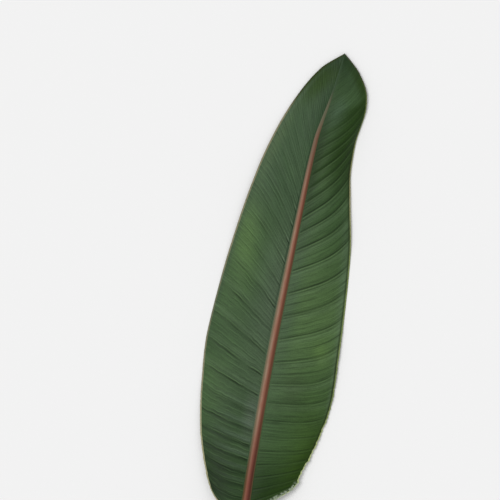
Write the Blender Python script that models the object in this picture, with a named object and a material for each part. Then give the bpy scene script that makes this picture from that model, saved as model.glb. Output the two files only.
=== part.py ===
"""A cut bird of paradise leaf, lying face up on its stalk and on the low parts of its margins.

Blade, midrib and stalk grew as one piece, so they are one solid. The blade is a loft between
slanting rows: each row follows a lateral vein from the midrib out to both margins, so that the
folds of the blade lie along the rows. +Y runs towards the tip and +Z out of the upper face.
"""
import math

import bmesh
import bpy
from mathutils import Vector

MM = 0.001  # every length below is in millimetres; the mesh itself is in metres

# Driving sizes
BLADE_LENGTH = 400.0
STALK_LENGTH = 250.0
BLADE_THICKNESS = 0.72
MARGIN_THICKNESS = 0.62
TIP_SPAN = 5.0  # the last stretch before the point, closed by a fan
CUT_SLANT = 0.35  # the stalk's cut leans back by this much for each unit of height

# Places along the leaf are distances from the blade's base, and below zero on the stalk. Each pair
# in a list is a place and the value there.
CUT = -STALK_LENGTH
TIP = BLADE_LENGTH
LEFT, RIGHT = -1, 1  # the sign of x on each side of the midrib

# Sideways places of the midrib and of both margins, from the straight line between base and tip
RIB_X = [(CUT, 14), (-120, 8.5), (0, 2.7), (17, 1.5), (30, 0.5), (60, -1.2), (95, -3.1),
         (130, -4.6), (160, -5.6), (210, -6.6), (260, -7.5), (300, -8.0), (322, -7.8), (340, -6.0),
         (355, -3.9), (370, -2.1), (TIP, 0)]
LEFT_X = [(13.5, -29.8), (20, -33.4), (36, -40.6), (62, -49.5), (100, -57), (145, -61.7),
          (190, -60.5), (240, -56.8), (290, -50.3), (325, -42.4), (353, -32.8), (383, -17.2),
          (TIP, 0)]
RIGHT_X = [(28, 39.2), (34, 41.5), (42, 43), (67, 49.8), (107, 55.2), (150, 52), (188, 48.4),
           (234, 42.5), (281, 31.8), (305, 27), (327, 25.8), (355, 28.2), (368, 26.4),
           (386, 15.9), (TIP, 0)]

# How far a lateral vein runs towards the tip between the midrib and the margin
LEFT_LEAD = [(0, 13.5), (18, 9.5), (40, 8), (65, 9), (97, 16.5), (125, 25), (150, 31), (184, 38),
             (230, 45), (260, 49), (290, 53), (315, 50), (340, 40), (360, 28), (380, 14), (TIP, 0)]
RIGHT_LEAD = [(0, 28), (25, 18), (60, 13), (97, 18), (140, 29), (184, 36), (230, 42), (260, 46),
              (290, 48), (315, 45), (340, 37), (360, 27), (380, 14), (TIP, 0)]

# Share of that lead gained by curving: near the margin, or near the midrib where it is below zero
LEFT_BEND = [(0, 1.0), (30, 0.8), (60, 0.25), (120, 0), (180, -0.2), (260, -0.2), (320, 0.2), (TIP, 0.4)]
RIGHT_BEND = [(0, 0), (30, 0.1), (60, 0.4), (100, 0.55), (150, 0.3), (TIP, 0.3)]
BEND_POWER = {LEFT: 3, RIGHT: 5}  # the higher, the nearer to the margin a vein curves

# Distance between two folds of the blade
FOLD_SPACING = [(0, 9.5), (40, 11.5), (90, 15.5), (150, 20), (200, 19), (250, 13), (300, 11),
                (TIP, 10)]
ROWS_A_FOLD = 3
LEFT_FOLD_HEIGHT = [(0, 0.3), (100, 0.4), (220, 0.4), (280, 0.25), (330, 0.06), (TIP, 0)]
RIGHT_FOLD_HEIGHT = [(0, 0.3), (100, 0.35), (220, 0.6), (290, 0.75), (335, 0.2), (TIP, 0)]

# Midrib and stalk: half width, rise of the crown over the edges (below zero: a channel), height of
# the edges, and height of the keel underneath, which is flat on the ground for one stretch
RIB_HALF = [(CUT, 6.8), (-120, 6.0), (-40, 4.5), (0, 3.5), (60, 3.3), (150, 3.2), (250, 2.5),
            (300, 2.1), (330, 1.6), (348, 1.1), (370, 0.7), (TIP, 0.3)]
RIB_CROWN = [(CUT, -2.4), (-90, -2.2), (-35, -0.6), (0, 1.1), (60, 1.3), (200, 1.1), (300, 0.7),
             (360, 0.25), (TIP, 0.05)]
EDGE_Z = [(CUT, 10.8), (-120, 10.2), (0, 9.6), (100, 8.8), (200, 7.9), (300, 7.2), (350, 5.7),
          (TIP, 2.2)]
KEEL_Z = [(CUT, 0.7), (-215, 0), (-120, 0), (-50, 0.4), (0, 0.9), (100, 2.2), (200, 3.6),
          (300, 4.9), (350, 4.1), (TIP, 1.35)]
STALK_ROWS = [CUT, -232, -215, -190, -155, -120, -95, -75, -60, -48, -38, -29, -21, -14, -7]

# Height of the underside at the margins: each touches the ground along one stretch
LEFT_Z = [(13.5, 5.2), (60, 3.0), (105, 0.9), (138, 0), (168, 0), (215, 1.2), (260, 2.6), (310, 2.2),
          (355, 1.0), (TIP, 1.45)]
RIGHT_Z = [(28, 5.0), (60, 2.2), (100, 1.0), (150, 1.7), (192, 0), (218, 0), (255, 1.6), (300, 0.7),
           (340, 0.6), (368, 2.2), (TIP, 1.45)]

# Angle at which the blade rises from the midrib, and at which it droops at each margin
LEFT_RISE = [(0, 17), (80, 14), (250, 13), (340, 11), (TIP, 3)]
RIGHT_RISE = [(0, 13), (80, 9), (250, 10), (300, 13), (340, 11), (TIP, 3)]
LEFT_DROOP = [(13.5, 20), (100, 24), (250, 22), (340, 18), (TIP, 5)]
RIGHT_DROOP = [(28, 16), (100, 15), (220, 18), (300, 40), (340, 44), (368, 24), (TIP, 5)]

# Shares of the way from midrib to margin at which a row has its points
BLADE_SHARES = [0.0, 0.1, 0.24, 0.4, 0.56, 0.72, 0.87, 1.0]
# Crown of the midrib and keel below it, as shares of the half width and of the height
CROWN_SHAPE = [(-0.6, 0.72), (0.0, 1.0), (0.6, 0.72)]
KEEL_SHAPE = [(-1.0, 0.36), (-0.83, 0.74), (-0.42, 1.0), (0.42, 1.0), (0.83, 0.74), (1.0, 0.36)]

LEAF_GREEN = (0.055, 0.094, 0.042, 1.0)
LEAF_ROUGHNESS = 0.48


def curve(pairs):
    """A smooth curve through (place, value) pairs that never swings past them."""
    places = [pair[0] for pair in pairs]
    values = [pair[1] for pair in pairs]
    chords = [(values[i + 1] - values[i]) / (places[i + 1] - places[i]) for i in range(len(pairs) - 1)]
    slopes = [chords[0]]
    for before, after in zip(chords, chords[1:]):
        slopes.append(2 * before * after / (before + after) if before * after > 0 else 0.0)
    slopes.append(chords[-1])

    def at(place):
        place = min(max(place, places[0]), places[-1])
        i = 0
        while i < len(chords) - 1 and place > places[i + 1]:
            i += 1
        span = places[i + 1] - places[i]
        return hermite((place - places[i]) / span, values[i], span * slopes[i],
                       values[i + 1], span * slopes[i + 1])
    return at


def hermite(t, start, start_slope, end, end_slope):
    """The cubic that leaves start and reaches end with the given slopes, at t from 0 to 1."""
    return (start * (1 + 2 * t) * (1 - t) ** 2 + start_slope * t * (1 - t) ** 2
            + end * t * t * (3 - 2 * t) + end_slope * t * t * (t - 1))


rib_x, rib_half, rib_crown = curve(RIB_X), curve(RIB_HALF), curve(RIB_CROWN)
edge_z, keel_z = curve(EDGE_Z), curve(KEEL_Z)
fold_spacing = curve(FOLD_SPACING)
vein_lead = {LEFT: curve(LEFT_LEAD), RIGHT: curve(RIGHT_LEAD)}
vein_bend = {LEFT: curve(LEFT_BEND), RIGHT: curve(RIGHT_BEND)}
rise_angle = {LEFT: curve(LEFT_RISE), RIGHT: curve(RIGHT_RISE)}
margin_x = {LEFT: curve(LEFT_X), RIGHT: curve(RIGHT_X)}
margin_z = {LEFT: curve(LEFT_Z), RIGHT: curve(RIGHT_Z)}
droop_angle = {LEFT: curve(LEFT_DROOP), RIGHT: curve(RIGHT_DROOP)}
fold_height = {LEFT: curve(LEFT_FOLD_HEIGHT), RIGHT: curve(RIGHT_FOLD_HEIGHT)}


def fold_reach(share):
    """How much of its height a fold has at this share of the way to the margin."""
    return min(1.0, share / 0.2) * (1 - share ** 3)


def blade_point(place, side, share, ridge):
    """Upper and lower point of the blade on the vein that leaves the midrib at this place."""
    lead = vein_lead[side](place)
    end = place + lead
    start_x = rib_x(place) + side * rib_half(place)
    width = abs(margin_x[side](end) - start_x)
    thickness = BLADE_THICKNESS + share * (MARGIN_THICKNESS - BLADE_THICKNESS)

    rise = width * math.tan(math.radians(rise_angle[side](place)))
    droop = width * math.tan(math.radians(droop_angle[side](end)))
    section = (edge_z(place) - BLADE_THICKNESS, rise, margin_z[side](end), -droop)
    step = 0.02
    before, after = max(0.0, share - step), min(1.0, share + step)
    slope = (hermite(after, *section) - hermite(before, *section)) / ((after - before) * width)

    x = start_x + side * share * width
    bend = vein_bend[side](place)
    y = place + lead * ((1 - bend) * share + bend * share ** BEND_POWER[side])
    z = hermite(share, *section) + ridge * fold_height[side](place) * fold_reach(share)
    return Vector((x, y, z + thickness * math.hypot(1, slope))), Vector((x, y, z))


class Row:
    """The mesh points of one row: the midrib or stalk in the middle, and the blade on each side."""

    def __init__(self, mesh, place, ridges):
        self.top = {}
        self.under = {}
        centre, half, edge = rib_x(place), rib_half(place), edge_z(place)
        lift = rib_crown(place)
        fall = edge - keel_z(place)
        for side in (LEFT, RIGHT):
            if ridges is None:
                lip = Vector((centre + side * half, place, edge))
                pairs = [(lip, lip - Vector((0, 0, BLADE_THICKNESS)))]
            else:
                pairs = [blade_point(place, side, share, ridges[side]) for share in BLADE_SHARES]
            self.top[side] = [mesh.verts.new(upper) for upper, lower in pairs]
            self.under[side] = [mesh.verts.new(lower) for upper, lower in pairs]
        crown = [mesh.verts.new((centre + half * across, place, edge + lift * up))
                 for across, up in CROWN_SHAPE]
        keel = [mesh.verts.new((centre + half * across, place, edge - fall * down))
                for across, down in KEEL_SHAPE]
        self.crown = [self.top[LEFT][0]] + crown + [self.top[RIGHT][0]]
        self.keel = [self.under[LEFT][0]] + keel + [self.under[RIGHT][0]]


def band(mesh, first, second, side=RIGHT):
    """Triangles between two lists of points; the side picks the shorter diagonal."""
    for i in range(len(first) - 1):
        near, far, far_next, near_next = first[i], first[i + 1], second[i + 1], second[i]
        if side == RIGHT:
            mesh.faces.new((near, far, near_next))
            mesh.faces.new((far, far_next, near_next))
        else:
            mesh.faces.new((near, far, far_next))
            mesh.faces.new((near, far_next, near_next))


def join_rows(mesh, row, following, with_blade):
    band(mesh, row.crown, following.crown)
    band(mesh, row.keel, following.keel)
    for side in (LEFT, RIGHT):
        if with_blade:
            band(mesh, row.top[side], following.top[side])
            band(mesh, row.under[side], following.under[side])
            band(mesh, [row.top[side][-1], row.under[side][-1]],
                 [following.top[side][-1], following.under[side][-1]])
        else:
            band(mesh, [row.top[side][0], row.under[side][0]],
                 [following.top[side][0], following.under[side][0]])


def blade_rows(mesh):
    """Rows along the veins: every third one is a fold's valley, one row apart on the two sides."""
    rows = []
    place = 0.0
    while place < TIP - TIP_SPAN:
        turn = len(rows) % ROWS_A_FOLD
        ridges = {RIGHT: 0.0 if turn == 0 else 1.0, LEFT: 0.0 if turn == 1 else 1.0}
        rows.append(Row(mesh, place, ridges))
        place += fold_spacing(place) / ROWS_A_FOLD
    return rows


def close_base(mesh, row):
    """The blade's lower edge, on both sides of the stalk."""
    for side in (LEFT, RIGHT):
        band(mesh, row.top[side], row.under[side])


def close_tip(mesh, row):
    """A fan from the last row to the point of the leaf."""
    upper = mesh.verts.new((rib_x(TIP), TIP, edge_z(TIP)))
    lower = mesh.verts.new((rib_x(TIP), TIP, edge_z(TIP) - BLADE_THICKNESS))
    fans = ((row.top, row.crown, upper), (row.under, row.keel, lower))
    for blade, middle, point in fans:
        for line in (blade[LEFT], blade[RIGHT], middle):
            for i in range(len(line) - 1):
                mesh.faces.new((line[i], line[i + 1], point))
    for side in (LEFT, RIGHT):
        band(mesh, [row.top[side][-1], row.under[side][-1]], [upper, lower])


def close_cut(mesh, row):
    """The stalk's slanting cut."""
    ring = row.crown + row.keel[::-1]
    lowest = min(point.co.z for point in ring)
    for point in ring:
        point.co.y += CUT_SLANT * (point.co.z - lowest)
    mesh.faces.new(ring)


def leaf_material():
    material = bpy.data.materials.new("leaf_green")
    material.use_nodes = True
    shader = material.node_tree.nodes["Principled BSDF"]
    shader.inputs["Base Color"].default_value = LEAF_GREEN
    shader.inputs["Roughness"].default_value = LEAF_ROUGHNESS
    shader.inputs["Metallic"].default_value = 0.0
    return material


def build_leaf(collection):
    mesh = bmesh.new()
    stalk = [Row(mesh, place, None) for place in STALK_ROWS]
    blade = blade_rows(mesh)
    rows = stalk + blade
    for row, following in zip(rows, rows[1:]):
        join_rows(mesh, row, following, row in blade)
    close_cut(mesh, stalk[0])
    close_base(mesh, blade[0])
    close_tip(mesh, blade[-1])
    bmesh.ops.triangulate(mesh, faces=[face for face in mesh.faces if len(face.verts) > 3])
    bmesh.ops.recalc_face_normals(mesh, faces=mesh.faces)
    stand_on_origin(mesh)

    data = bpy.data.meshes.new("leaf")
    mesh.to_mesh(data)
    mesh.free()
    data.shade_smooth()
    data.set_sharp_from_angle(angle=math.radians(35))
    data.materials.append(leaf_material())
    leaf = bpy.data.objects.new("leaf", data)
    collection.objects.link(leaf)
    return leaf


def stand_on_origin(mesh):
    """Scale to metres and put the origin under the middle of the leaf."""
    low = Vector([min(point.co[axis] for point in mesh.verts) for axis in range(3)])
    high = Vector([max(point.co[axis] for point in mesh.verts) for axis in range(3)])
    origin = Vector(((low.x + high.x) / 2, (low.y + high.y) / 2, low.z))
    for point in mesh.verts:
        point.co = (point.co - origin) * MM


def main():
    for thing in list(bpy.data.objects):
        bpy.data.objects.remove(thing, do_unlink=True)
    collection = bpy.data.collections.new("bird_of_paradise_leaf")
    bpy.context.scene.collection.children.link(collection)
    build_leaf(collection)


main()
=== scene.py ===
"""Looks of a cut bird of paradise leaf: folded waxy blade, reddish midrib, thin pale margin and
channelled stalk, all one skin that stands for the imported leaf."""
import math
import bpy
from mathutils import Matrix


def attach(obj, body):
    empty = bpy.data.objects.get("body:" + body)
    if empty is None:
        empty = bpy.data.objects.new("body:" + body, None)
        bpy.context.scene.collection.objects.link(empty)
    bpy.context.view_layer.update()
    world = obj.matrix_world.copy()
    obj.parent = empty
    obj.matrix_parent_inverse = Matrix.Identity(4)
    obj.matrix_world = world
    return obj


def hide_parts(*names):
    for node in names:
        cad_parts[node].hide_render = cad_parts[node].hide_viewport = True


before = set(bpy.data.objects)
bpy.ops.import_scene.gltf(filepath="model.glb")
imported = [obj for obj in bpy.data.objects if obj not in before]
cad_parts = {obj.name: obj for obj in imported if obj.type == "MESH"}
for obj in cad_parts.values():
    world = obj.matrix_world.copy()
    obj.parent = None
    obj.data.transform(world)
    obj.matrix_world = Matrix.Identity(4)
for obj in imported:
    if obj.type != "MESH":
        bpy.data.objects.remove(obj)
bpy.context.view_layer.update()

from types import SimpleNamespace

import bpy
import numpy as np
from mathutils import Vector

MM = 0.001  # lengths below are in millimetres unless they say otherwise

# The leaf's own measures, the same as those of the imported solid. Places along the leaf are
# distances from the blade's base, below zero on the stalk; each pair is a place and a value.
BLADE_LENGTH = 400.0
STALK_LENGTH = 250.0
BLADE_THICKNESS = 0.72
MARGIN_THICKNESS = 0.62
CUT_SLANT = 0.35
CUT = -STALK_LENGTH
TIP = BLADE_LENGTH
LEFT, RIGHT = -1, 1  # the sign of x on each side of the midrib
LEAF_MIDDLE = np.array((-3.26, 75.0, 0.0))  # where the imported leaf's origin is, in these measures

RIB_X = [(CUT, 14), (-120, 8.5), (0, 2.7), (17, 1.5), (30, 0.5), (60, -1.2), (95, -3.1),
         (130, -4.6), (160, -5.6), (210, -6.6), (260, -7.5), (300, -8.0), (322, -7.8), (340, -6.0),
         (355, -3.9), (370, -2.1), (TIP, 0)]
LEFT_X = [(13.5, -29.8), (20, -33.4), (36, -40.6), (62, -49.5), (100, -57), (145, -61.7),
          (190, -60.5), (240, -56.8), (290, -50.3), (325, -42.4), (353, -32.8), (383, -17.2),
          (TIP, 0)]
RIGHT_X = [(28, 39.2), (34, 41.5), (42, 43), (67, 49.8), (107, 55.2), (150, 52), (188, 48.4),
           (234, 42.5), (281, 31.8), (305, 27), (327, 25.8), (355, 28.2), (368, 26.4),
           (386, 15.9), (TIP, 0)]
LEFT_LEAD = [(0, 13.5), (18, 9.5), (40, 8), (65, 9), (97, 16.5), (125, 25), (150, 31), (184, 38),
             (230, 45), (260, 49), (290, 53), (315, 50), (340, 40), (360, 28), (380, 14), (TIP, 0)]
RIGHT_LEAD = [(0, 28), (25, 18), (60, 13), (97, 18), (140, 29), (184, 36), (230, 42), (260, 46),
              (290, 48), (315, 45), (340, 37), (360, 27), (380, 14), (TIP, 0)]
LEFT_BEND = [(0, 1.0), (30, 0.8), (60, 0.25), (120, 0), (180, -0.2), (260, -0.2), (320, 0.2), (TIP, 0.4)]
RIGHT_BEND = [(0, 0), (30, 0.1), (60, 0.4), (100, 0.55), (150, 0.3), (TIP, 0.3)]
BEND_POWER = {LEFT: 3, RIGHT: 5}  # the higher, the nearer to the margin a vein curves
FOLD_SPACING = [(0, 9.5), (40, 11.5), (90, 15.5), (150, 20), (200, 19), (250, 13), (300, 11),
                (TIP, 10)]
LEFT_FOLD_HEIGHT = [(0, 0.3), (100, 0.4), (220, 0.4), (280, 0.25), (330, 0.06), (TIP, 0)]
RIGHT_FOLD_HEIGHT = [(0, 0.3), (100, 0.35), (220, 0.6), (290, 0.75), (335, 0.2), (TIP, 0)]
RIB_HALF = [(CUT, 6.8), (-120, 6.0), (-40, 4.5), (0, 3.5), (60, 3.3), (150, 3.2), (250, 2.5),
            (300, 2.1), (330, 1.6), (348, 1.1), (370, 0.7), (TIP, 0.3)]
RIB_CROWN = [(CUT, -2.4), (-90, -2.2), (-35, -0.6), (0, 1.1), (60, 1.3), (200, 1.1), (300, 0.7),
             (360, 0.25), (TIP, 0.05)]
EDGE_Z = [(CUT, 10.8), (-120, 10.2), (0, 9.6), (100, 8.8), (200, 7.9), (300, 7.2), (350, 5.7),
          (TIP, 2.2)]
KEEL_Z = [(CUT, 0.7), (-215, 0), (-120, 0), (-50, 0.4), (0, 0.9), (100, 2.2), (200, 3.6),
          (300, 4.9), (350, 4.1), (TIP, 1.35)]
LEFT_Z = [(13.5, 5.2), (60, 3.0), (105, 0.9), (138, 0), (168, 0), (215, 1.2), (260, 2.6),
          (310, 2.2), (355, 1.0), (TIP, 1.45)]
RIGHT_Z = [(28, 5.0), (60, 2.2), (100, 1.0), (150, 1.7), (192, 0), (218, 0), (255, 1.6),
           (300, 0.7), (340, 0.6), (368, 2.2), (TIP, 1.45)]
LEFT_RISE = [(0, 17), (80, 14), (250, 13), (340, 11), (TIP, 3)]
RIGHT_RISE = [(0, 13), (80, 9), (250, 10), (300, 13), (340, 11), (TIP, 3)]
LEFT_DROOP = [(13.5, 20), (100, 24), (250, 22), (340, 18), (TIP, 5)]
RIGHT_DROOP = [(28, 16), (100, 15), (220, 18), (300, 40), (340, 44), (368, 24), (TIP, 5)]

# Where one fold's rows lie, as shares of the fold: close together at the creases of both halves
LEFT_CREASE = 1 / 3
FOLD_ROWS = [0, 0.022, 0.05, 0.09, 0.15, 0.21, 0.258, 0.29, 0.313, LEFT_CREASE, 0.355, 0.383, 0.42,
             0.48, 0.56, 0.64, 0.72, 0.79, 0.85, 0.91, 0.95, 0.978]
TIP_GAP = 0.35  # least distance from the last row to the point of the leaf
MIDWAY = 0.52  # share of a fold at which the slight crease between two creases lies
UPPER_SHARES = 24
LOWER_SHARES = 14
CROWDING = 0.55  # how much these stand closer together at the midrib and at the margin
CROWN_COLUMNS = 11
KEEL_COLUMNS = 15
STALK_STEP = 3.0
SHARP_ANGLE = math.radians(62)

# Margin, midrib and cut in section
EDGE_TURNS = [(0.04, 0.36), (0.3, 0.0), (0.04, -0.36)]  # rounding of the margin: reach and height
EDGE_TAPER = 12.0  # distance from the tip over which the rounding narrows, to this share
EDGE_LEAST = 0.1
CROWN_POWER = 0.75
CROWN_RIPPLE = 0.05
CROWN_PERIODS = (0.9, 1.4)  # in thirds of the midrib's half width
KEEL_ACROSS_POWER = 0.5
KEEL_DOWN_POWER = 1 / 1.1
KEEL_PALE = 0.3  # how far the keel's sides already count as underside
SLANT_SHARES = (1.0, 0.6, 0.25)  # how much of the cut's slant the stalk's first rows take
CUT_RINGS = [(0.985, 0.0), (0.96, 0.048), (0.88, 0.12), (0.72, 0.192), (0.5, 0.252), (0.25, 0.276)]
CUT_DEPTH = 0.28  # of its middle; each ring above is a size and a depth

# Relief of the folds and of the creases between them
CREST = 0.62  # power that makes the valleys of the folds narrow and their crests broad
FOLD_START = 0.2  # share of the way out at which a fold has its full height
CREASE_START = 0.05  # share of the way out at which a crease has its full depth
CREASE_END = {LEFT: 0.35, RIGHT: 0.14}  # share before the margin over which a crease dies away
CREASE_DEPTHS = {LEFT: (0.6, 1.0), RIGHT: (0.75, 1.0)}
EVENNESS = {LEFT: 0.65, RIGHT: 0.85}  # how little a crease's depth changes along it
DEPTH_PERIODS = (23.0, 41.0, 67.0)
DEPTH_SHIFT = 40.0  # between neighbouring creases, so that no two change alike
DEEPEST = 1.2
LEFT_CREASES = [(0, 1), (140, 1), (190, 0.6), (240, 0.4), (290, 0.12), (330, 0), (TIP, 0)]
RIGHT_CREASES = [(0, 0.6), (100, 0.7), (160, 1), (235, 1), (270, 0.6), (310, 0.35), (345, 0), (TIP, 0)]
GROOVES = [(-0.36, 0.7, 0.5), (0.14, -0.35, 0.45), (-0.14, -1.5, 0.5)]  # height, place, half width

# How far the margin is out of line, by place along it, and the slow ripple of the whole blade
LEFT_CRINKLE = [(13.5, 0.45), (60, 0.22), (130, 0.12), (TIP, 0.05)]
RIGHT_CRINKLE = [(28, 0.8), (50, 0.75), (80, 0.6), (120, 0.4), (170, 0.2), (230, 0.1), (TIP, 0.05)]
CRINKLE_PERIODS = (3.9, 6.7, 11.3, 19.1)
CRINKLE_HEIGHT = 0.7  # share of the crinkle that goes up and down
CRINKLE_REACH = 2.6  # how far in from the margin it dies away
NIBBLE_POWER = 1.5
NIBBLE_DEPTH = 0.8  # share of the crinkle that goes in from the margin
NIBBLE_REACH = 2.2
RIPPLE_PERIODS = (47.0, 71.0, 103.0)
RIPPLE_HEIGHT = 0.16
RIPPLE_SLANT = 0.6
RIPPLE_END = 40.0
SEEDS = {LEFT: 19, RIGHT: 21}
CROWN_SEED = 5

# Notes kept at each point for the finish: place of its vein at the midrib, crease number, distance
# between creases, depth of its crease, distance out along the vein, share of the way out with its
# side's sign, distance from the margin, place across the midrib, underside, distance up the leaf
NOTES = ("place", "fold", "pitch", "depth", "vein", "share", "rim", "rib", "under", "along")
PLAIN_PITCH = 12.0  # notes of the points that lie on no fold, far from the margin or off the midrib
FAR_FROM_RIM = 30.0
OFF_THE_RIB = 9.0

# The bake's map, from 0 to 1: how far each strip runs, and its two sides. The blade's strips are
# given from the midrib outwards.
BLADE_RUN = (0.002, 0.994)
STALK_RUN = (0.002, 0.93)
UPPER_STRIP = {LEFT: (0.195, 0.003), RIGHT: (0.223, 0.415)}
LOWER_STRIP = {LEFT: (0.623, 0.431), RIGHT: (0.651, 0.843)}
EDGE_STRIP = {LEFT: (0.853, 0.856), RIGHT: (0.859, 0.862)}
CROWN_STRIP = (0.195, 0.223)
KEEL_STRIP = (0.623, 0.651)
STALK_CROWN_STRIP = (0.866, 0.906)
STALK_KEEL_STRIP = (0.91, 0.972)
LIP_STRIP = {LEFT: (0.976, 0.978), RIGHT: (0.98, 0.982)}
BASE_RUN = (0.02, 0.92)
BASE_STRIP = {LEFT: (0.985, 0.987), RIGHT: (0.99, 0.992)}
TIP_RUN = (0.9945, 0.999)
TIP_STRIP = (0.003, 0.843)
TIP_WIDTH = 0.003
CUT_MIDDLE = (0.966, 0.92)
CUT_SCALE = 0.0042  # of the map for each millimetre
SKIN_SLOT, FLESH_SLOT = 0, 1  # order of the two finishes


def curve(pairs):
    """A smooth curve through (place, value) pairs that never swings past them."""
    places, values = np.array(pairs, float).T
    chords = np.diff(values) / np.diff(places)
    slopes = np.concatenate((chords[:1], np.zeros(len(chords) - 1), chords[-1:]))
    even = chords[:-1] * chords[1:] > 0
    slopes[1:-1][even] = (2 * chords[:-1] * chords[1:])[even] / (chords[:-1] + chords[1:])[even]

    def at(place):
        place = np.clip(place, places[0], places[-1])
        i = np.clip(np.searchsorted(places, place) - 1, 0, len(chords) - 1)
        span = places[i + 1] - places[i]
        return hermite((place - places[i]) / span, values[i], span * slopes[i],
                       values[i + 1], span * slopes[i + 1])
    return at


def hermite(t, start, start_slope, end, end_slope):
    """The cubic that leaves start and reaches end with the given slopes, at t from 0 to 1."""
    return (start * (1 + 2 * t) * (1 - t) ** 2 + start_slope * t * (1 - t) ** 2
            + end * t * t * (3 - 2 * t) + end_slope * t * t * (t - 1))


rib_x, rib_half, rib_crown = curve(RIB_X), curve(RIB_HALF), curve(RIB_CROWN)
edge_z, keel_z = curve(EDGE_Z), curve(KEEL_Z)
fold_spacing = curve(FOLD_SPACING)
vein_lead = {LEFT: curve(LEFT_LEAD), RIGHT: curve(RIGHT_LEAD)}
vein_bend = {LEFT: curve(LEFT_BEND), RIGHT: curve(RIGHT_BEND)}
rise_angle = {LEFT: curve(LEFT_RISE), RIGHT: curve(RIGHT_RISE)}
margin_x = {LEFT: curve(LEFT_X), RIGHT: curve(RIGHT_X)}
margin_z = {LEFT: curve(LEFT_Z), RIGHT: curve(RIGHT_Z)}
droop_angle = {LEFT: curve(LEFT_DROOP), RIGHT: curve(RIGHT_DROOP)}
fold_height = {LEFT: curve(LEFT_FOLD_HEIGHT), RIGHT: curve(RIGHT_FOLD_HEIGHT)}
crease_strength = {LEFT: curve(LEFT_CREASES), RIGHT: curve(RIGHT_CREASES)}
crinkle = {LEFT: curve(LEFT_CRINKLE), RIGHT: curve(RIGHT_CRINKLE)}


def waves(place, periods, seed):
    """An uneven wave of height about 1, from a few sines that start anywhere."""
    starts = np.random.default_rng(seed).uniform(0, math.tau, len(periods))
    total = sum(np.sin(place * math.tau / period + start) for period, start in zip(periods, starts))
    return total / math.sqrt(len(periods))


def crowded(count):
    """Shares from 0 to 1 that stand closer together towards both ends."""
    even = np.linspace(0, 1, count)
    return (1 - CROWDING) * even + CROWDING * (1 - np.cos(math.pi * even)) / 2


def length(vectors):
    """Lengths of the vectors of an array."""
    return np.linalg.norm(vectors, axis=-1)


def blade_rows():
    """Place at the midrib and fold number of every row of the blade."""
    thirds = [0.0]
    while thirds[-1] < TIP:
        thirds.append(thirds[-1] + float(fold_spacing(thirds[-1])) / 3)
    fold = np.array([whole + part for whole in range(len(thirds) // 3 + 1) for part in FOLD_ROWS])
    place = np.interp(fold, np.arange(len(thirds)) / 3, thirds)
    inside = place < TIP - TIP_GAP
    return place[inside], fold[inside]


def plain_half(side, place, share):
    """Underside of one half of the blade before its folds, and the half's width along each vein."""
    lead = vein_lead[side](place)
    end = place + lead
    start_x = rib_x(place) + side * rib_half(place)
    width = np.abs(margin_x[side](end) - start_x)
    rise = width * np.tan(np.radians(rise_angle[side](place)))
    droop = width * np.tan(np.radians(droop_angle[side](end)))
    section = (edge_z(place) - BLADE_THICKNESS, rise, margin_z[side](end), -droop)
    bend = vein_bend[side](place)
    x = start_x + side * share * width
    y = place + lead * ((1 - bend) * share + bend * share ** BEND_POWER[side])
    return np.stack((x, y, hermite(share, *section) + 0 * x), axis=-1), width


def plain_distances(points, fold, share):
    """Distances on the plain blade: between creases, out along a vein and in from the margin."""
    upward = np.gradient(points, fold, axis=0)
    outward = np.gradient(points, share, axis=1)
    outward /= length(outward)[..., None]
    pitch = length(np.cross(upward, outward))
    steps = length(np.diff(points, axis=1))
    vein = np.concatenate((np.zeros((len(steps), 1)), np.cumsum(steps, axis=1)), axis=1)
    margin_way = upward[:, -1] / length(upward[:, -1])[:, None]
    slant = length(np.cross(margin_way, outward[:, -1]))[:, None]
    return pitch, vein, (vein[:, -1:] - vein) * slant


def fold_relief(side, place, fold, share, pitch, vein):
    """Height of the folds, which have broad crests between narrow valleys, and each crease's depth."""
    nearest = np.round(fold)
    depths = np.random.default_rng(SEEDS[side]).uniform(*CREASE_DEPTHS[side], int(nearest.max()) + 3)
    depth = depths[nearest.astype(int) + 1]
    crest = 1 - depth * (1 - np.abs(np.sin(math.pi * fold)) ** CREST)
    reach = np.minimum(1, share / FOLD_START) * (1 - share ** 3)
    off = (fold - nearest) * pitch * side
    grooves = sum(height * np.exp(-((off - at) / half) ** 2) for height, at, half in GROOVES)
    faded = np.minimum(1, share / CREASE_START) * np.clip((1 - share) / CREASE_END[side], 0, 1)
    wave = waves(vein + DEPTH_SHIFT * nearest, DEPTH_PERIODS, SEEDS[side] + 1)
    faded = faded * (EVENNESS[side] + (1 - EVENNESS[side]) * wave)
    strength = crease_strength[side](place)
    height = crest * fold_height[side](place) * reach + depth * grooves * faded * strength
    return height, depth * np.clip(faded, 0, DEEPEST) * strength


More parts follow.
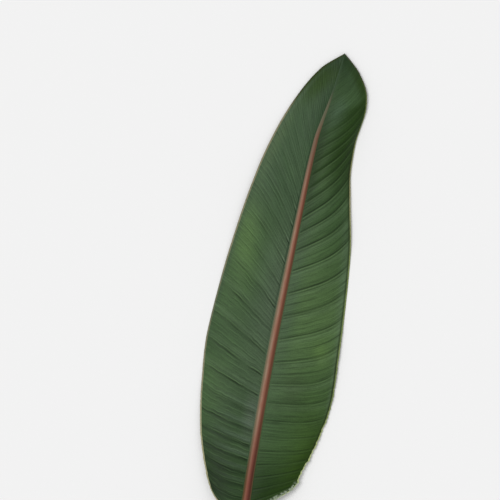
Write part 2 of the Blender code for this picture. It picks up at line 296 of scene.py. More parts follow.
def blade_half(side, place, fold, share):
    """Upper and lower points of one half of the blade, each row along one vein, with their notes."""
    fold = fold - (LEFT_CREASE if side == LEFT else 0.0)
    place = place[:, None]
    points, width = plain_half(side, place, share)
    pitch, vein, to_margin = plain_distances(points, fold, share)
    fold = fold[:, None]
    rim = np.minimum(to_margin, pitch * (fold - fold[0]))
    x, y, z = np.moveaxis(points, -1, 0)
    relief, depth = fold_relief(side, place, fold, share, pitch, vein)
    ripple = waves(y + RIPPLE_SLANT * x, RIPPLE_PERIODS, SEEDS[side] + 2) * np.sin(math.pi * share)
    z = z + relief + RIPPLE_HEIGHT * ripple * np.clip((TIP - place) / RIPPLE_END, 0, 1)

    # Margins are a little crinkled and nibbled, most of all at the base
    end = place + vein_lead[side](place)
    uneven = crinkle[side](end)
    wave = waves(end, CRINKLE_PERIODS, SEEDS[side] + 3)
    z = z + CRINKLE_HEIGHT * uneven * wave * np.exp(-rim / CRINKLE_REACH)
    bites = 1 - waves(end, CRINKLE_PERIODS, SEEDS[side] + 4)
    x = x - side * NIBBLE_DEPTH * uneven ** NIBBLE_POWER * bites * np.exp(-to_margin / NIBBLE_REACH)
    z = np.maximum(z, 0)

    # Thickness is measured square to the surface
    thickness = BLADE_THICKNESS + share * (MARGIN_THICKNESS - BLADE_THICKNESS)
    slope = np.abs(np.gradient(z, share, axis=1) / width)
    under = np.stack((x, y, z), axis=-1)
    top = np.stack((x, y, z + thickness * np.hypot(1, np.minimum(slope, 1))), axis=-1)
    notes = {"place": place, "fold": fold, "pitch": pitch, "depth": depth, "vein": vein,
             "share": side * share, "rim": np.maximum(rim, 0), "rib": side * (1 + vein / rib_half(place)),
             "along": y}
    return top, under, {name: np.broadcast_to(values, x.shape) for name, values in notes.items()}


class Skin:
    """The leaf's surface: points with their notes, and faces with their place on the bake's map."""

    def __init__(self):
        self.points, self.faces, self.maps, self.slots = [], [], [], []
        self.notes = {name: [] for name in NOTES}
        self.count = 0

    def add(self, points, notes):
        """Adds a grid of points and returns the grid of their numbers."""
        shape = points.shape[:-1]
        numbers = np.arange(self.count, self.count + math.prod(shape)).reshape(shape)
        self.count += numbers.size
        self.points.append(points.reshape(-1, 3))
        for name in NOTES:
            self.notes[name].append(np.broadcast_to(notes.get(name, 0.0), shape).ravel())
        return numbers

    def cover(self, numbers, u, v, turned=False, slot=SKIN_SLOT):
        """Quads over a grid of points, which lie at u and v on the map."""
        u, v = np.broadcast_to(u, numbers.shape), np.broadcast_to(v, numbers.shape)
        corners = [np.s_[:-1, :-1], np.s_[:-1, 1:], np.s_[1:, 1:], np.s_[1:, :-1]]
        if turned:
            corners.reverse()
        self.faces += np.stack([numbers[c].ravel() for c in corners], axis=1).tolist()
        self.maps.append(np.stack([np.stack((u[c].ravel(), v[c].ravel()), axis=1)
                                   for c in corners], axis=1).reshape(-1, 2))
        self.slots += [slot] * ((numbers.shape[0] - 1) * (numbers.shape[1] - 1))

    def patch(self, ring, places, slot=SKIN_SLOT):
        """One face through a ring of points."""
        self.faces.append([int(number) for number in ring])
        self.maps.append(np.array(places, float))
        self.slots.append(slot)

    def mesh(self, name, finishes):
        """The finished mesh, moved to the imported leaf's frame, with its notes and its map."""
        points = (np.concatenate(self.points) - LEAF_MIDDLE) * MM
        data = bpy.data.meshes.new(name)
        data.from_pydata(points.tolist(), [], self.faces)
        for note, values in self.notes.items():
            kept = data.attributes.new(note, "FLOAT", "POINT")
            kept.data.foreach_set("value", np.concatenate(values).astype(np.float32))
        bake_map = data.uv_layers.new(name="OFBake")
        bake_map.data.foreach_set("uv", np.concatenate(self.maps).astype(np.float32).ravel())
        for finish in finishes:
            data.materials.append(finish)
        data.polygons.foreach_set("material_index", self.slots)
        data.shade_smooth()
        data.set_sharp_from_angle(angle=SHARP_ANGLE)
        data.validate()
        return data


def spread(strip, shares):
    """Places across a strip of the map, at shares of its width."""
    return strip[0] + (strip[1] - strip[0]) * shares


def leaf_mesh(finishes):
    """Blade, midrib, stalk and cut end as one closed surface."""
    skin = Skin()
    place, fold = blade_rows()
    stalk_place = np.arange(CUT, -STALK_STEP / 2, STALK_STEP)
    rows = np.concatenate((stalk_place, place))[:, None]
    first = len(stalk_place)
    stalk, blade = np.s_[:first + 1], np.s_[first:]
    up = spread(BLADE_RUN, (place / BLADE_LENGTH)[:, None])
    down = np.linspace(*STALK_RUN, first + 1)[:, None]

    crown_points, crown_notes = midrib_crown(rows)
    keel_points, keel_notes = midrib_keel(rows)
    for points in (crown_points, keel_points):
        for row, slant in enumerate(SLANT_SHARES):
            points[row, :, 1] += slant * CUT_SLANT * (points[row, :, 2] - keel_z(CUT))
    crown = skin.add(crown_points, crown_notes)
    keel = skin.add(keel_points, keel_notes)

    halves = {}
    for side, junction in ((LEFT, 0), (RIGHT, -1)):
        upper, _, notes = blade_half(side, place, fold, crowded(UPPER_SHARES))
        top = skin.add(upper[:, 1:], {name: values[:, 1:] for name, values in notes.items()})
        _, lower, notes = blade_half(side, place, fold, crowded(LOWER_SHARES))
        notes["under"] = np.ones(lower.shape[:2])
        bottom = skin.add(lower[:, 1:], {name: values[:, 1:] for name, values in notes.items()})
        edge_points = margin_edge(side, place, (upper[:, -1] + lower[:, -1]) / 2)
        edge = skin.add(edge_points, {
            "place": place[:, None], "along": edge_points[:, :1, 1], "pitch": PLAIN_PITCH,
            "share": float(side), "rib": side * OFF_THE_RIB, "under": 0.5, "vein": notes["vein"][:, -1:]})
        top = np.concatenate((crown[blade, junction][:, None], top), axis=1)
        bottom = np.concatenate((keel[blade, junction][:, None], bottom), axis=1)
        halves[side] = (top, bottom, edge)

        skin.cover(top, up, spread(UPPER_STRIP[side], crowded(UPPER_SHARES)), turned=side == LEFT)
        skin.cover(bottom, up, spread(LOWER_STRIP[side], crowded(LOWER_SHARES)), turned=side == RIGHT)
        margin = np.concatenate((top[:, -1:], edge, bottom[:, -1:]), axis=1)
        skin.cover(margin, up, np.linspace(*EDGE_STRIP[side], margin.shape[1]), turned=side == LEFT)
        close_base(skin, side, list(top[0]) + list(edge[0]) + list(bottom[0][::-1]))
        lip = np.stack((crown[stalk, junction], keel[stalk, junction]), axis=1)
        skin.cover(lip, down, np.array(LIP_STRIP[side]), turned=side == LEFT)

    skin.cover(crown[blade], up, np.linspace(*CROWN_STRIP, CROWN_COLUMNS))
    skin.cover(keel[blade], up, np.linspace(*KEEL_STRIP, KEEL_COLUMNS), turned=True)
    skin.cover(crown[stalk], down, np.linspace(*STALK_CROWN_STRIP, CROWN_COLUMNS))
    skin.cover(keel[stalk], down, np.linspace(*STALK_KEEL_STRIP, KEEL_COLUMNS), turned=True)
    close_tip(skin, crown, keel, halves)
    close_cut(skin, crown, keel, crown_points, keel_points)
    return skin.mesh("leaf_skin", finishes)


def midrib_crown(rows):
    """Top of the midrib, which sinks to a channel on the stalk."""
    across = np.linspace(-1, 1, CROWN_COLUMNS)
    x = rib_x(rows) + rib_half(rows) * across
    ripple = CROWN_RIPPLE * waves(across * 3, CROWN_PERIODS, CROWN_SEED) * (1 - across ** 2)
    z = edge_z(rows) + rib_crown(rows) * (1 - across ** 2) ** CROWN_POWER + ripple
    notes = {"place": rows, "along": rows, "pitch": PLAIN_PITCH, "rim": FAR_FROM_RIM, "rib": across}
    return np.stack((x, rows + 0 * x, z), axis=-1), notes


def midrib_keel(rows):
    """Underside of the midrib and of the stalk."""
    turn = np.linspace(0, math.pi, KEEL_COLUMNS)
    across = -np.sign(np.cos(turn)) * np.abs(np.cos(turn)) ** KEEL_ACROSS_POWER
    down = np.abs(np.sin(turn)) ** KEEL_DOWN_POWER
    x = rib_x(rows) + rib_half(rows) * across
    top = edge_z(rows) - BLADE_THICKNESS
    z = np.maximum(top - (top - keel_z(rows)) * down, 0)
    notes = {"place": rows, "along": rows, "pitch": PLAIN_PITCH, "rim": FAR_FROM_RIM, "rib": across,
             "under": np.clip(KEEL_PALE + down, 0, 1)}
    return np.stack((x, rows + 0 * x, z), axis=-1), notes


def margin_edge(side, place, middle):
    """The margin's rounded edge, outside the middle line between its upper and lower points."""
    reach, height = np.array(EDGE_TURNS).T
    taper = np.clip((TIP - place) / EDGE_TAPER, EDGE_LEAST, 1)[:, None]
    rounding = np.stack((side * reach * taper, 0 * taper * reach, height + 0 * taper), axis=-1)
    return middle[:, None] + rounding


def close_base(skin, side, ring):
    """One face over the blade's lower edge, beside the stalk."""
    if side == RIGHT:
        ring.reverse()
    low, high = BASE_STRIP[side]
    count = len(ring)
    skin.patch(ring, [(spread(BASE_RUN, abs(2 * i / count - 1)), high if i < count / 2 else low)
                      for i in range(count)])


def close_tip(skin, crown, keel, halves):
    """A small fan from the last row to the point of the leaf."""
    tip_point = np.array([[rib_x(TIP), TIP, edge_z(TIP) - BLADE_THICKNESS / 2]], float)
    point = skin.add(tip_point, {"place": TIP, "along": TIP, "pitch": PLAIN_PITCH, "under": 0.5,
                                 "rib": OFF_THE_RIB})[0]
    (top_left, under_left, edge_left), (top_right, under_right, edge_right) = halves[LEFT], halves[RIGHT]
    upper = list(top_left[-1][::-1]) + list(crown[-1][1:-1]) + list(top_right[-1])
    lower = list(under_right[-1][::-1]) + list(keel[-1][1:-1][::-1]) + list(under_left[-1])
    ring = upper + list(edge_right[-1]) + lower + list(edge_left[-1][::-1])
    ring.append(ring[0])
    for i, (a, b) in enumerate(zip(ring, ring[1:])):
        v = spread(TIP_STRIP, i / len(ring))
        skin.patch((a, b, point), [(TIP_RUN[0], v), (TIP_RUN[0], v + TIP_WIDTH), (TIP_RUN[1], v)])


def close_cut(skin, crown, keel, crown_points, keel_points):
    """The stalk's cut end: a narrow rim of skin round the flesh, whose middle is a little sunken."""
    rim = np.concatenate((crown_points[0], keel_points[0][::-1], crown_points[0][:1]))
    centre = rim[:-1].mean(axis=0)
    rings = [np.concatenate((crown[0], keel[0][::-1], crown[0][:1]))]
    sizes = [1.0]
    for size, depth in CUT_RINGS:
        ring = centre + (rim[:-1] - centre) * size + np.array((0, depth, 0))
        numbers = skin.add(ring, {"place": CUT, "along": CUT, "share": size, "rim": FAR_FROM_RIM})
        rings.append(np.concatenate((numbers, numbers[:1])))
        sizes.append(size)
    u, v = (CUT_MIDDLE[i] + CUT_SCALE * np.outer(sizes, rim[:, axis] - centre[axis])
            for i, axis in enumerate((0, 2)))
    skin.cover(np.stack(rings[:2]), u[:2], v[:2])
    for i in range(1, len(CUT_RINGS)):
        skin.cover(np.stack(rings[i:i + 2]), u[i:i + 2], v[i:i + 2], slot=FLESH_SLOT)

    middle_point = (centre + np.array((0, CUT_DEPTH, 0)))[None]
    middle = skin.add(middle_point, {"place": CUT, "along": CUT, "rim": FAR_FROM_RIM})[0]
    for i in range(len(rim) - 1):
        skin.patch((rings[-1][i], rings[-1][i + 1], middle),
                   [(u[-1, i], v[-1, i]), (u[-1, i + 1], v[-1, i + 1]), CUT_MIDDLE], slot=FLESH_SLOT)


class Value:
    """A socket of a finish, so that the finish's maths reads as plain expressions."""

    def __init__(self, finish, socket):
        self.finish, self.socket = finish, socket

    def math(self, operation, *terms):
        """A Math node over this and other values or numbers."""
        return self.finish.node("ShaderNodeMath", {"operation": operation}, dict(enumerate(terms)))

    def __add__(self, other):
        return self.math("ADD", self, other)

    def __sub__(self, other):
        return self.math("SUBTRACT", self, other)

    def __rsub__(self, other):
        return self.math("SUBTRACT", other, self)

    def __mul__(self, other):
        return self.math("MULTIPLY", self, other)

    def __truediv__(self, other):
        return self.math("DIVIDE", self, other)

    def __abs__(self):
        return self.math("ABSOLUTE", self)

    def __lt__(self, other):
        return self.math("LESS_THAN", self, other)

    __radd__ = __add__
    __rmul__ = __mul__

    def rounded(self):
        return self.math("ROUND", self)

    def fraction(self):
        return self.math("FRACT", self)

    def fade(self, start, end):
        """Rises smoothly from 0 where the value is start to 1 where it is end."""
        return self.finish.node("ShaderNodeMapRange", {"interpolation_type": "SMOOTHSTEP"},
                                {"Value": self, "From Min": start, "From Max": end})

    def hump(self, middle, half):
        """1 where the value is middle, falling away over the half width."""
        off = (self - middle) / half
        return self.math("EXPONENT", off * off * -1)


class Finish:
    """A material and the nodes that make it."""

    def __init__(self, name, **constants):
        self.material = bpy.data.materials.new(name)
        self.material.use_nodes = True
        self.tree = self.material.node_tree
        self.shader = self.tree.nodes["Principled BSDF"]
        for socket, value in constants.items():
            self.shader.inputs[socket.replace("_", " ")].default_value = value

    def node(self, kind, settings, inputs, output=0):
        """A node of any kind: its settings are made first, then its sockets are filled."""
        made = self.tree.nodes.new(kind)
        for name, value in settings.items():
            setattr(made, name, value)
        for name, value in inputs.items():
            if isinstance(value, Value):
                self.tree.links.new(value.socket, made.inputs[name])
            else:
                made.inputs[name].default_value = value
        return Value(self, made.outputs[output])

    def note(self, name):
        """One of the notes kept at the skin's points."""
        return self.node("ShaderNodeAttribute", {"attribute_name": name}, {}, "Fac")

    def notes(self, *names):
        return [self.note(name) for name in names]

    def spot(self):
        """The place on the leaf, in metres."""
        return self.node("ShaderNodeTexCoord", {}, {}, "Object")

    def at(self, x, y, z=0.0):
        return self.node("ShaderNodeCombineXYZ", {}, {"X": x, "Y": y, "Z": z})

    def noise(self, where, scale, detail, roughness=0.5):
        return self.node("ShaderNodeTexNoise", {},
                         {"Vector": where, "Scale": scale, "Detail": detail, "Roughness": roughness})

    def mix(self, factor, first, second):
        """Colour mixing; the factor goes from the first colour to the second."""
        return self.node("ShaderNodeMix", {"data_type": "RGBA"}, {0: factor, 6: first, 7: second}, 2)

    def tinted(self, colour, tints):
        """The colour with tints laid over it in turn, each as strongly as its number says."""
        for strength, tint in tints.values():
            colour = self.mix(strength, colour, tint)
        return colour

    def shade(self, colour, strength):
        """The colour made darker or lighter by a factor."""
        return self.node("ShaderNodeVectorMath", {"operation": "SCALE"},
                         {"Vector": colour, "Scale": strength})

    def feed(self, socket, value):
        """Links a value or a colour to the shader."""
        self.tree.links.new(value.socket, self.shader.inputs[socket])

    def bump(self, height):
        """Height in millimetres, as a relief on the surface."""
        self.feed("Normal", self.node("ShaderNodeBump", {}, {"Height": height, "Distance": MM}))


def dye(red, green, blue):
    """A colour from the values that a screen shows, 0 to 255."""
    def linear(level):
        level /= 255
        return level / 12.92 if level <= 0.04045 else ((level + 0.055) / 1.055) ** 2.4
    return linear(red), linear(green), linear(blue), 1.0


def halves_of(leaf):
    """Masks of the blade's left half and of its right half."""
    left = leaf.note("share") < 0
    return left, 1 - left


def skin_texture(leaf):
    """Fine, nearly parallel veins that wander a little, the streaks between them at four widths,
    and the specks and clouds that cross them. Creases take part of the wander, as their shift.
    The glints mark painted highlights between the veins of the left half."""
    place, vein, along = leaf.notes("place", "vein", "along")
    left, _ = halves_of(leaf)

    def drawn_out(across, stretch, start, leap, detail, roughness=0.5):
        """Noise drawn out along the veins, read a leap further on for the left half."""
        return leaf.noise(leaf.at(across, vein * stretch, left * leap + start), 1.0, detail, roughness)

    wander = drawn_out(place * 0.07, 0.11, 23, 5, 1.0) - 0.5
    bend = left * (0.3 + along.fade(240, 150) * 1.3)
    thin = place + wander * (1.1 + bend)
    sway = drawn_out(place * 0.11, 0.012, 11, 5, 1.0)
    turn = (thin * 0.29 + sway * 0.9).fraction()
    strength = drawn_out(place * 0.3, 0.05, 17, 5, 1.0).fade(0.38, 0.66)
    return SimpleNamespace(
        shift=wander * bend,
        broad=drawn_out(place * 0.05, 0.005, 31, 9, 1.0),
        wide=drawn_out(place * 0.13, 0.008, 0, 9, 2.0),
        streak=drawn_out(thin * 0.7, 0.022, 3, 7, 2.0, 0.6),
        grain=drawn_out(thin * 1.5, 0.07, 0, 7, 3.0, 0.65),
        speck=leaf.noise(leaf.spot(), 1100.0, 2.0),
        cloud=leaf.noise(leaf.spot(), 22.0, 3.0),
        turn=turn,
        threads=turn.hump(0.5, 0.085) * strength,
        glints=turn.hump(0.78, 0.09) * strength * left)


def crease_marks(leaf, texture):
    """Lines along the creases, as strong as each crease is deep: a dark one, a pale one beside it
    and a lesser dark one beyond; also the slight creases midway between some of them. On the upper
    side the dark lines are painted shade and the pale one is a painted highlight."""
    place, fold, pitch, depth, vein = leaf.notes("place", "fold", "pitch", "depth", "vein")
    left, right = halves_of(leaf)
    off = (fold - fold.rounded()) * pitch * (right - left) - texture.shift
    midway = fold + MIDWAY
    to_midway = (midway - midway.rounded()) * pitch
    uneven = leaf.noise(leaf.at(midway.rounded() * 3.7, vein * 0.02), 1.0, 0.0).fade(0.35, 0.62)
    return SimpleNamespace(
        off=off,
        dark=off.hump(0.72, 0.64) * depth,
        pale=off.hump(-0.4, 0.5) * depth,
        lesser=off.hump(-1.6, 0.6) * depth,
        slight=to_midway.hump(0.0, 0.5) * uneven * place.hump(170, 62) * right)


def soft_greens(leaf, texture):
    """The soft changes of colour of the blade's upper side, some of them painted shade, painted light
    and painted sheen. Numbers are millimetres up the leaf, out along a vein or in from the margin."""
    vein, rim, along = leaf.notes("vein", "rim", "along")
    left, right = halves_of(leaf)
    # Painted sheen: the grey-blue sheen of the waxy skin, painted in along the midrib
    painted_sheen = leaf.mix(left, dye(75, 93, 70), dye(76, 91, 73))
    foot = along.fade(78, 16)
    # Painted shade in the hollow inside the right half's turned edge
    hollow = (along - vein * 0.48).fade(346, 337) * along.fade(262, 322) * rim.fade(33, 10)
    # Painted light: a brighter patch near the left margin
    bright = along.hump(234, 31) * (rim + along * 0.2).hump(58, 11)
    inner = right * along.fade(250, 200) * along.fade(84, 112) + left * along.hump(348, 34)
    green = leaf.mix(texture.cloud.fade(0.35, 0.68), dye(52, 76, 43), dye(59, 84, 48))
    return leaf.tinted(green, {
        # painted sheen along the midrib
        "bloom along the midrib":
            (vein.fade(40, 4) * along.hump(185, 100) * (0.45 + left * 0.3), painted_sheen),
        "left, painted light patch": (left * bright * 0.75, dye(80, 111, 54)),
        "right, fresh middle": (right * along.hump(172, 60) * vein.fade(4, 20) * 0.72, dye(77, 102, 60)),
        "left, greyer top": (left * along.fade(190, 290) * 0.6, dye(57, 77, 55)),
        # painted shade beside the upper midrib, right
        "right, painted shade by the upper midrib":
            (right * along.hump(308, 56) * vein.fade(15, 2) * 0.9, dye(24, 46, 12)),
        # painted light on two swells of the right half
        "right, painted light on a swell": (right * along.hump(290, 18) * vein.hump(21, 9) * 0.32, dye(84, 108, 72)),
        "right, painted light on the cheek near the tip":
            (right * along.hump(350, 15) * vein.hump(14, 12) * 0.4, dye(68, 86, 74)),
        # painted shade in the hollow inside the turned edge
        "right, painted shade in the hollow inside the turned edge": (right * hollow * 0.8, dye(28, 52, 4)),
        # painted shade beside the upper midrib, left
        "left, painted shade by the upper midrib":
            (left * along.hump(352, 24) * vein.fade(34, 2) * 0.7, dye(38, 58, 36)),
        "darker tip": (along.fade(352, 388) * 0.6, dye(38, 56, 35)),
        # painted shade on the drooping flanks of the tip
        "painted shade on the flanks of the tip":
            (along.hump(377, 21) * rim.fade(9 + left * 14, 3) * (0.7 + left * 0.08), dye(32, 54, 2)),
        "darkest point": (along.fade(378, 396) * 0.5, dye(22, 42, 24)),
        "left, vivid strip near the tip":
            (left * along.hump(367, 12) * rim.hump(9.5, 6) * 0.5, dye(36, 62, 0)),
        "right, dark foot": (right * foot * 0.9, dye(22, 44, 8)),
        "left, dark foot": (left * foot * (0.35 + vein.fade(4, 26) * 0.5), dye(18, 36, 6)),
        # painted sheen in a strip inside the right margin
        "right, painted sheen along the margin": (right * along.hump(212, 52) * rim.hump(4.6, 3.2) * 0.3, dye(86, 106, 84)),
        "right, deep green apron": (right * along.hump(42, 42) * rim.fade(24, 3) * 0.65, dye(28, 52, 0)),
        "right, fresher below": (right * along.hump(68, 44) * vein.hump(42, 22) * 0.32, dye(58, 85, 10)),
        "left, dull below": (left * along.hump(86, 74) * vein.hump(21, 16) * 0.24, dye(36, 50, 36)),
        # painted sheen low on the midrib, left
        "left, bloom low on the midrib":
            (left * along.hump(82, 20) * vein.fade(15, 4) * 0.35, dye(98, 106, 98)),
        "left, pale brow": (left * along.hump(214, 17) * vein.hump(21, 10) * 0.22, dye(88, 112, 82)),
        "left, fresh shoulder": (left * rim.hump(5, 5) * along.hump(312, 36) * 0.35, dye(80, 100, 66)),
        "pale line inside the margin": (inner * rim.hump(2.9, 1.5) * 0.27, dye(84, 102, 82)),
        "right, deep green skirt": (right * along.hump(56, 30) * rim.fade(10, 3) * 0.5, dye(28, 52, 0)),
        "right, bright flare": (right * along.hump(146, 10) * rim.hump(14, 6) * 0.3, dye(98, 130, 64)),
        "left, dull verge": (left * rim.fade(6, 2) * along.hump(212, 60) * 0.28, dye(54, 62, 58)),
        "right, dull shelf": (right * along.hump(112, 16) * vein.hump(21, 11) * 0.26, dye(38, 36, 34)),
    })


def upper_side(leaf, texture, creases):
    """The blade from above: its soft greens under the marks of its folds, creases and veins;
    most marks of the folds and creases are painted shade and painted highlights.
    """
    place, vein, share, along = leaf.notes("place", "vein", "share", "along")
    left, right = halves_of(leaf)
    off, threads = creases.off, texture.threads
    # Painted shade beside each crease and painted light beyond it, along the broad folds
    folded = place.fade(70, 105) * place.fade(262 - left * 60, 235 - left * 95)
    folded = folded * (0.4 + vein.fade(6, 22) * 0.6) * (1 - left * 0.15)
    # Painted shade in the valleys of the upper right folds
    valley = right * off.hump(1.2, 2.1) * place.hump(285, 52) * share.fade(0.0, 0.12)
    # Strengths of the painted shade in the creases and of the painted highlight beside them
    dark = creases.dark * (0.88 - right * along.hump(150, 60) * 0.26)
    pale = creases.pale * (0.5 - right * along.fade(140, 70) * 0.3 - left * 0.15)
    # Painted shade and painted highlight at the inner ends of the creases, left
    ends = left * vein.fade(9, 4) * along.hump(234, 42)
    green = leaf.tinted(soft_greens(leaf, texture), {
        "painted shade beside a crease": (folded * off.hump(1.7, 2.3) * 0.16, dye(20, 40, 10)),
        "painted light beyond it": (folded * off.hump(-3.3, 2.5) * 0.13, dye(104, 126, 96)),
        "right, painted shade in the valleys above": (valley * 0.5, dye(20, 42, 4)),
        # painted shade in the troughs below the creases, left
        "left, painted shade in the troughs below":
            (left * off.hump(1.4, 2.0) * along.fade(120, 50) * 0.55, dye(18, 36, 14)),
        # painted sheen on the crests below, left
        "left, painted sheen on the crests below":
            (left * off.hump(-3.4, 2.2) * along.hump(62, 36) * vein.fade(46, 8) * 0.24, dye(94, 108, 98)),
        # The next four tints are painted shade in the creases and a painted highlight beside them
        "painted shade in a crease": (dark, dye(12, 27, 7)),
        "slight crease": (creases.slight * 0.7, dye(14, 30, 8)),
        "lesser painted shade beyond the pale line": (creases.lesser * 0.4, dye(12, 28, 8)),
        "pale line": (pale, dye(88, 112, 74)),
        "fine veins": (threads * (0.38 + left * 0.04), dye(16, 34, 12)),
        # painted glints between the fine veins
        "painted glints between them": (texture.glints * 0.15, dye(104, 132, 90)),
        "left, painted shade at the ends of creases": (ends * off.hump(0.75, 0.5) * 0.7, dye(14, 30, 14)),
        "left, painted highlight at the ends of creases": (ends * off.hump(-0.35, 0.42) * 0.28, dye(134, 152, 128)),
    })
    streaky = (texture.streak - 0.5) * (0.74 - left * 0.2) + (texture.broad - 0.5) * (0.14 - left * 0.11)
    streaky = streaky + (texture.grain - 0.5) * 1.05 + (texture.speck - 0.5) * 0.62
    green = leaf.shade(green, 0.89 + texture.turn * 0.12 + texture.wide * 0.22 + streaky)
    # Painted shade in a narrow strip beside the midrib, left
    groove = left * vein.hump(1.9, 1.1) * along.fade(110, 230) * along.fade(345, 310)
    return leaf.mix(groove * 0.5, green, dye(14, 32, 14))


def lower_side(leaf, texture, creases):
    """The blade from below: paler and greyer, its veins slightly darker."""
    vein = leaf.note("vein")
    green = leaf.mix(texture.cloud.fade(0.35, 0.7), dye(104, 126, 92), dye(120, 140, 102))
    green = leaf.tinted(green, {
        "paler by the midrib": (vein.fade(30, 0) * 0.35, dye(134, 146, 104)),
        "veins": (texture.threads * 0.5 + creases.lesser * 0.3, dye(74, 100, 60)),
        "ridges of the creases": (creases.dark * 0.6, dye(150, 164, 116)),
        "dark beside them": (creases.pale * 0.5, dye(66, 92, 54)),
    })
    return leaf.shade(green, 0.5 + texture.streak * 0.25 + texture.grain * 0.5 + texture.speck * 0.25)


def margin_cord(leaf, green):
    """Where the margin's fine cord is, and the blade's green with it: pale, browner towards the tip,
    with painted shade inside it on the right and dry crumbs on the right base edge."""
    vein, share, rim, along = leaf.notes("vein", "share", "rim", "along")
    left, right = halves_of(leaf)
    cord = (rim - left * 0.35).fade(1.0, 0.45)
    cord_dye = leaf.tinted(leaf.mix(left, dye(124, 136, 80), dye(136, 130, 104)), {
        "left, greyer middle": (left * along.hump(168, 34) * 0.7, dye(84, 92, 70)),
        "right, paler by the turned edge": (right * along.hump(282, 32), dye(162, 156, 116)),
        "paler at the base":
            (along.fade(120, 50), leaf.mix(left, dye(180, 192, 134), dye(152, 150, 116))),
        "brown at the tip": (along.fade(345 - left * 8, 388 - left * 28), dye(52, 60, 26)),
    })
    broken = leaf.noise(leaf.at(along, share * 2), 0.4, 3.0).fade(0.25, 0.6)
    # Painted shade in a seam just inside the right margin's cord
    seam = right * rim.hump(1.7, 0.65) * along.fade(40, 70) * along.fade(340, 310)
    fringe = right * along.fade(37, 31) * vein.fade(10, 24) * rim.fade(4.4, 1.8)
    crumb = leaf.noise(leaf.spot(), 480.0, 3.0).fade(0.36, 0.54)
    return cord, leaf.tinted(green, {
        "right, painted shade inside the cord": (seam * (0.6 + along.hump(124, 30) * 0.25), dye(32, 38, 14)),
        "cord": (cord * (0.55 + broken * 0.4 + along.fade(110, 60) * 0.15), cord_dye),
        "right, crumbs": (fringe * crumb, dye(146, 158, 136)),
    })


def midrib_and_stalk(leaf, fibre, beneath):
    """Reddish midrib, palest on its ridge, partly a painted highlight, and darker on its right, partly
    painted shade; it turns green on the stalk and towards the tip."""
    rib, along = leaf.notes("rib", "along")
    rose = leaf.noise(leaf.at(along * 0.09, rib * 1.3, 4.5), 1.0, 3.0, 0.6)
    # The ridge's pale pinkish tan is partly its own colour and partly a painted highlight
    ridge = leaf.tinted(leaf.mix(rose.fade(0.36, 0.64), dye(145, 117, 97), dye(141, 101, 82)), {
        "redder at the base": (along.fade(100, 20) * 0.75, dye(118, 58, 42)),
        "browner at the top": (along.fade(280, 325) * 0.7, dye(102, 84, 68)),
    })
    flank = leaf.mix(along.fade(90, 20), dye(108, 99, 76), dye(78, 59, 29))
    flank = leaf.mix(along.fade(230, 300), flank, dye(110, 86, 68))
    warm = leaf.mix(along.fade(100, 30), dye(130, 83, 66), dye(106, 58, 47))
    # The right side's dusky red is partly its own colour and partly painted shade
    dusky = leaf.mix(along.fade(100, 30), dye(105, 64, 47), dye(82, 44, 32))
    red = leaf.tinted(flank, {
        "pale ridge with a painted highlight": (rib.fade(-0.9, -0.28), ridge),
        "warm middle": (rib.fade(-0.3, 0.2), warm),
        "darker right, partly painted shade": (rib.fade(0.1, 0.54), dusky),
        "foot of its right flank": (rib.fade(0.65, 1.05), dye(90, 72, 48)),
        "browner above": (along.fade(275, 320) * 0.45, dye(98, 84, 66)),
        "greyer near its end": (along.fade(322, 346), dye(92, 91, 70)),
        "green at its end": (along.fade(350, 370), dye(56, 76, 52)),
    })
    rosy = leaf.noise(leaf.spot(), 30.0, 3.0).fade(0.42, 0.7)
    stem = leaf.mix(fibre.fade(0.3, 0.7), dye(84, 98, 52), dye(104, 116, 66))
    stem = leaf.mix(rosy * along.fade(-250, -60) * 0.5, stem, dye(120, 84, 58))
    keel = leaf.tinted(leaf.mix(fibre.fade(0.3, 0.7), dye(112, 128, 72), dye(136, 146, 90)), {
        "rosy under the blade": (along.fade(-20, 40) * rosy * 0.45, dye(146, 100, 74)),
        "stalk": (along.fade(-60, -160), stem),
    })
    red = leaf.tinted(red, {"stalk": (along.fade(-10, -110), stem), "keel": (beneath, keel)})
    return leaf.shade(red, 0.8 + fibre * 0.4)


def skin_finish():
    """Deep waxy green above, paler beneath, with creases, fine veins, a reddish midrib, a thin
    pale margin and a stalk that turns from reddish to green."""
    leaf = Finish("leaf_skin", Specular_IOR_Level=0.12)
    rib, under, along = leaf.notes("rib", "under", "along")
    beneath = under.fade(0.3, 0.75)
    blade = abs(rib).fade(0.94, 1.16)
    fibre = leaf.noise(leaf.at(along * 0.02, rib * 2.6, 1.5), 1.0, 4.0, 0.65)
    texture = skin_texture(leaf)
    creases = crease_marks(leaf, texture)
    green = leaf.mix(beneath, upper_side(leaf, texture, creases), lower_side(leaf, texture, creases))
    cord, green = margin_cord(leaf, green)
    leaf.feed("Base Color", leaf.mix(blade, midrib_and_stalk(leaf, fibre, beneath), green))
    leaf.feed("Roughness", 0.4 + texture.grain * 0.14 + beneath * 0.12 + cord * 0.15)
    veins = texture.streak * 0.1 + texture.grain * 0.07 - texture.threads * 0.08
    raised = beneath * (creases.dark * 0.12 + texture.threads * 0.14)
    leaf.bump(blade * (veins + raised) + (1 - blade) * fibre * 0.1 + texture.speck * 0.012)
    return leaf.material


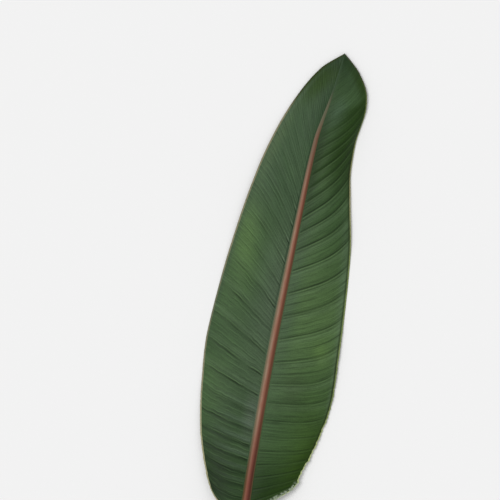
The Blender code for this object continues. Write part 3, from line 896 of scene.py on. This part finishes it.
def cut_finish():
    """Pale moist flesh of the cut stalk, with its strands, browning at the rim."""
    flesh = Finish("cut_flesh")
    where = flesh.spot()
    size = flesh.note("share")
    spots = flesh.node("ShaderNodeTexVoronoi", {"feature": "F1"},
                       {"Vector": where, "Scale": 1250.0, "Randomness": 0.85})
    strand = spots.fade(0.36, 0.12)
    cells = flesh.noise(where, 3200.0, 2.0)
    pale = flesh.mix(flesh.noise(where, 300.0, 4.0).fade(0.3, 0.7), dye(158, 168, 108), dye(190, 192, 140))
    colour = flesh.tinted(pale, {
        "strands": (strand * 0.55, dye(118, 126, 70)),
        "bruises": (flesh.noise(where, 120.0, 3.0).fade(0.52, 0.75) * 0.5, dye(150, 130, 84)),
        "dry rim": (size.fade(0.8, 0.97) * 0.75, dye(104, 106, 58)),
    })
    flesh.feed("Base Color", flesh.shade(colour, 0.86 + cells * 0.28))
    flesh.feed("Roughness", 0.34 + cells * 0.2)
    flesh.bump(strand * 0.1 + cells * 0.06)
    return flesh.material


# Camera, floor and light, in metres. The camera looks straight down, turned so that the leaf leans
# to the right.
PICTURE_TURN = math.radians(12.77)
PICTURE_MIDDLE = (-0.0385, 0.1439)
PICTURE_WIDTH = 0.425
CAMERA_HEIGHT = 2.0
CAMERA_REACH = 100.0
MEAN_LEAF_HEIGHT = 0.006
SENSOR = 36.0  # millimetres
FLOOR_HALF = 30.0
FLOOR_GREY = 0.875
KEY_STRENGTH = 1.3
KEY_SPREAD = math.radians(30)
KEY_HEIGHT = math.radians(57)
KEY_FROM = math.radians(158)  # anticlockwise from the picture's right
AMBIENT = 0.67


def pale_floor():
    """A plain pale tabletop, wide enough for every view."""
    corners = [(x * FLOOR_HALF, y * FLOOR_HALF, 0) for x, y in ((-1, -1), (1, -1), (1, 1), (-1, 1))]
    data = bpy.data.meshes.new("floor")
    data.from_pydata(corners, [], [(0, 1, 2, 3)])
    grey = (FLOOR_GREY, FLOOR_GREY, FLOOR_GREY, 1.0)
    paint = Finish("pale_floor", Base_Color=grey, Roughness=0.9, Specular_IOR_Level=0.0)
    data.materials.append(paint.material)
    floor = bpy.data.objects.new("floor", data)
    bpy.context.scene.collection.objects.link(floor)
    return floor


def add_camera():
    """The picture's camera, which frames PICTURE_WIDTH at the leaf's mean height."""
    data = bpy.data.cameras.new("picture_camera")
    data.sensor_width = SENSOR
    data.lens = SENSOR * (CAMERA_HEIGHT - MEAN_LEAF_HEIGHT) / PICTURE_WIDTH
    data.clip_end = CAMERA_REACH
    camera = bpy.data.objects.new("picture_camera", data)
    camera.location = (*PICTURE_MIDDLE, CAMERA_HEIGHT)
    camera.rotation_euler = (0, 0, PICTURE_TURN)
    bpy.context.scene.collection.objects.link(camera)
    bpy.context.scene.camera = camera


def add_light():
    """A broad soft key from the upper left, and an even white surround."""
    data = bpy.data.lights.new("soft_key", "SUN")
    data.energy = KEY_STRENGTH
    data.angle = KEY_SPREAD
    key = bpy.data.objects.new("soft_key", data)
    turn = KEY_FROM + PICTURE_TURN
    level = math.cos(KEY_HEIGHT)
    towards = Vector((math.cos(turn) * level, math.sin(turn) * level, math.sin(KEY_HEIGHT)))
    key.rotation_mode = "QUATERNION"
    key.rotation_quaternion = towards.to_track_quat("Z", "Y")
    bpy.context.scene.collection.objects.link(key)

    world = bpy.data.worlds.new("studio")
    world.use_nodes = True
    world.node_tree.nodes["Background"].inputs["Color"].default_value = (1.0, 1.0, 1.0, 1.0)
    world.node_tree.nodes["Background"].inputs["Strength"].default_value = AMBIENT
    bpy.context.scene.world = world
    bpy.context.scene.view_settings.view_transform = "Standard"


piece = bpy.data.objects.new("leaf_skin", leaf_mesh([skin_finish(), cut_finish()]))
bpy.context.scene.collection.objects.link(piece)
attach(piece, "root")
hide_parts("leaf")
pale_floor()
add_camera()
add_light()
